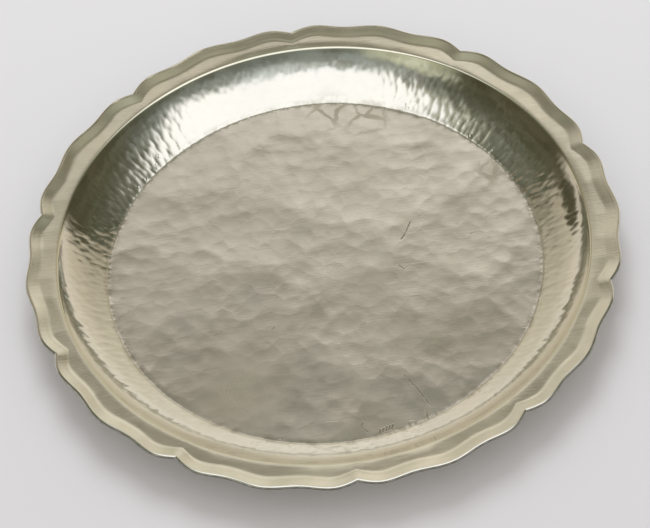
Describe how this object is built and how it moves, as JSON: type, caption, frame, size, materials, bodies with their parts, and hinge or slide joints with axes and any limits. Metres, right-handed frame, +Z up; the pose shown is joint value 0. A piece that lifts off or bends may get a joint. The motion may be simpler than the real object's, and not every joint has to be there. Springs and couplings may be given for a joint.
{
  "type": "paten plate",
  "caption": "Round hammered white-metal plate with a flat-floored well, steep curved wall and a flat scalloped rim whose turned-up border is edged with half-round wire.",
  "frame": {"origin": "centre of the flat underside, where the plate rests on the table", "axes": "+Z up out of the well; +X runs through the crown of the first lobe, so a notch between two lobes lies on +Y"},
  "size_m": [0.25, 0.2482, 0.0159],
  "materials": {
    "plate_metal": "satin",
    "wire_metal": "polished"
  },
  "bodies": {
    "root": {"plate_body": "plate_metal", "edge_wire_1": "wire_metal", "edge_wire_2": "wire_metal", "edge_wire_3": "wire_metal", "edge_wire_4": "wire_metal", "edge_wire_5": "wire_metal", "edge_wire_6": "wire_metal", "edge_wire_7": "wire_metal", "edge_wire_8": "wire_metal", "edge_wire_9": "wire_metal", "edge_wire_10": "wire_metal"}
  },
  "joints": []
}
